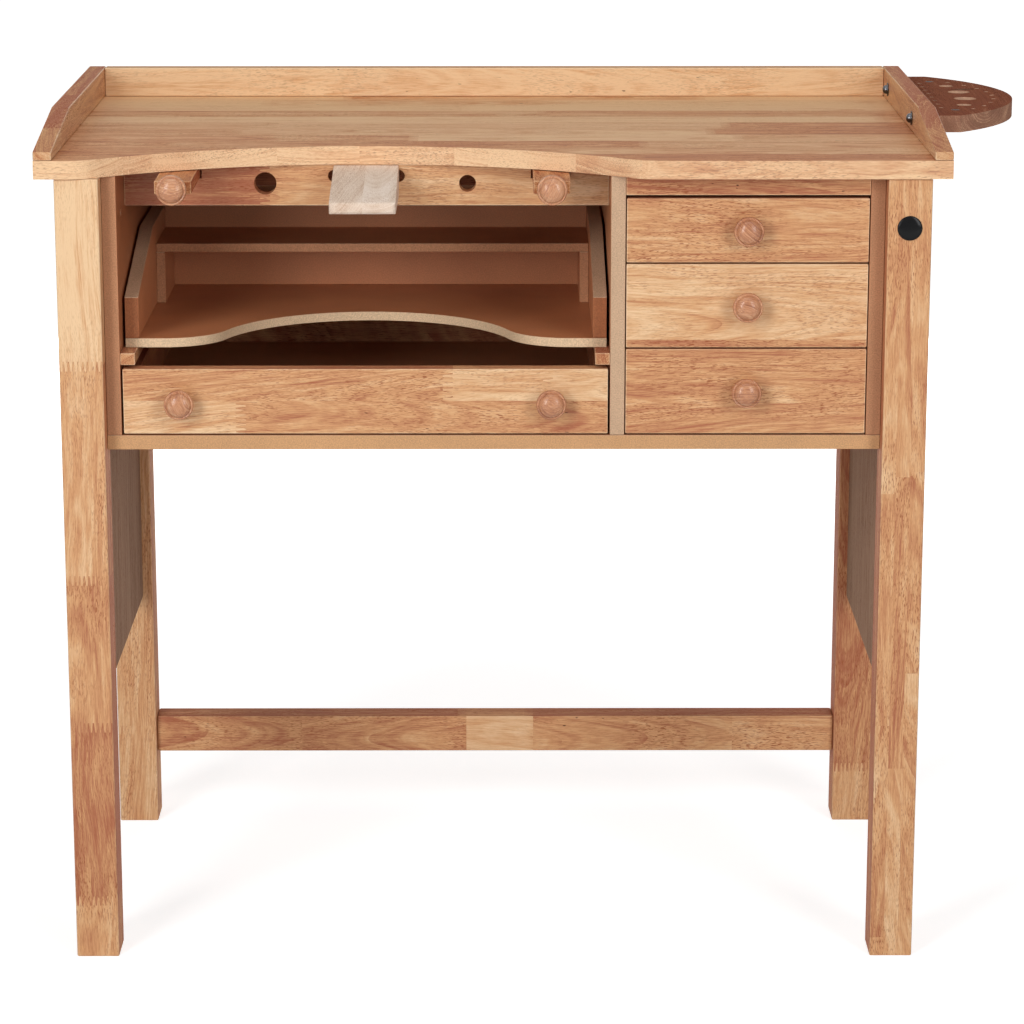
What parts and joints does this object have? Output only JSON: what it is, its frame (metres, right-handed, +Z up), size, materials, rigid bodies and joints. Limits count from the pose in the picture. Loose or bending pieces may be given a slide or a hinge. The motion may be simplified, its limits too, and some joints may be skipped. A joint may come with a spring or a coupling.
{
  "type": "jewelers bench",
  "caption": "Wooden jeweller's bench with a scooped worktop, low upstands, sliding catch tray, drawers, pull-out arms, a bench pin and a half-moon tool holder.",
  "frame": {"origin": "on the floor, under the middle of the whole bench's box", "axes": "+X to the worker's right along the worktop, +Y from the front to the back, +Z up"},
  "size_m": [1.0994, 0.5904, 0.945],
  "materials": {
    "rubberwood": "clear satin lacquer over finger-jointed rubberwood",
    "fibreboard": "sealed medium-density fibreboard",
    "beech": "turned and lacquered beech",
    "pale_hardwood": "planed and unfinished pale hardwood",
    "red_hardwood": "stained reddish hardwood",
    "zinc_steel": "zinc-plated steel",
    "black_enamel": "plain black gloss"
  },
  "bodies": {
    "root": {"worktop": "rubberwood", "back_upstand": "rubberwood", "left_upstand": "rubberwood", "right_upstand": "rubberwood", "front_left_leg": "rubberwood", "front_right_leg": "rubberwood", "rear_left_leg": "rubberwood", "rear_right_leg": "rubberwood", "rear_stretcher": "rubberwood", "left_end_panel": "fibreboard", "right_end_panel": "fibreboard", "cabinet_bottom": "fibreboard", "cabinet_back": "fibreboard", "cabinet_left_side": "fibreboard", "cabinet_right_side": "fibreboard", "cabinet_divider": "fibreboard", "bank_top_rail": "rubberwood", "apron": "rubberwood", "arm_guide_rail": "rubberwood", "left_tray_runner": "rubberwood", "right_tray_runner": "rubberwood", "middle_left_runner": "rubberwood", "middle_right_runner": "rubberwood", "top_left_runner": "rubberwood", "top_right_runner": "rubberwood", "tool_holder": "red_hardwood", "holder_front_bolt": "zinc_steel", "holder_rear_bolt": "zinc_steel", "holder_front_barrel_nut": "zinc_steel", "holder_rear_barrel_nut": "zinc_steel", "leg_disc": "black_enamel"},
    "left_arm": {"left_arm": "rubberwood", "left_arm_knob": "beech"},
    "right_arm": {"right_arm": "rubberwood", "right_arm_knob": "beech"},
    "bench_pin": {"bench_pin": "pale_hardwood"},
    "tray": {"tray_floor": "fibreboard", "tray_left_side": "fibreboard", "tray_right_side": "fibreboard", "tray_back": "fibreboard", "tray_shelf": "fibreboard", "tray_left_cleat": "fibreboard", "tray_right_cleat": "fibreboard"},
    "wide_drawer": {"wide_drawer_front": "rubberwood", "wide_drawer_frame": "rubberwood", "wide_drawer_floor": "fibreboard", "wide_drawer_left_knob": "beech", "wide_drawer_right_knob": "beech"},
    "top_drawer": {"top_drawer_front": "rubberwood", "top_drawer_frame": "rubberwood", "top_drawer_floor": "fibreboard", "top_drawer_knob": "beech"},
    "middle_drawer": {"middle_drawer_front": "rubberwood", "middle_drawer_frame": "rubberwood", "middle_drawer_floor": "fibreboard", "middle_drawer_knob": "beech"},
    "bottom_drawer": {"bottom_drawer_front": "rubberwood", "bottom_drawer_frame": "rubberwood", "bottom_drawer_floor": "fibreboard", "bottom_drawer_knob": "beech"}
  },
  "joints": [
    {"name": "left_arm_slide", "type": "slide", "parent": "root", "child": "left_arm", "axis": [0, -1, 0], "range_m": [-0.055, 0.2]},
    {"name": "right_arm_slide", "type": "slide", "parent": "root", "child": "right_arm", "axis": [0, -1, 0], "range_m": [-0.055, 0.2]},
    {"name": "bench_pin_slide", "type": "slide", "parent": "root", "child": "bench_pin", "axis": [0, -1, 0], "range_m": [0, 0.08]},
    {"name": "tray_slide", "type": "slide", "parent": "root", "child": "tray", "axis": [0, -1, 0], "range_m": [-0.11, 0.28]},
    {"name": "wide_drawer_slide", "type": "slide", "parent": "root", "child": "wide_drawer", "axis": [0, -1, 0], "range_m": [0, 0.38]},
    {"name": "top_drawer_slide", "type": "slide", "parent": "root", "child": "top_drawer", "axis": [0, -1, 0], "range_m": [0, 0.38]},
    {"name": "middle_drawer_slide", "type": "slide", "parent": "root", "child": "middle_drawer", "axis": [0, -1, 0], "range_m": [0, 0.38]},
    {"name": "bottom_drawer_slide", "type": "slide", "parent": "root", "child": "bottom_drawer", "axis": [0, -1, 0], "range_m": [0, 0.38]}
  ]
}
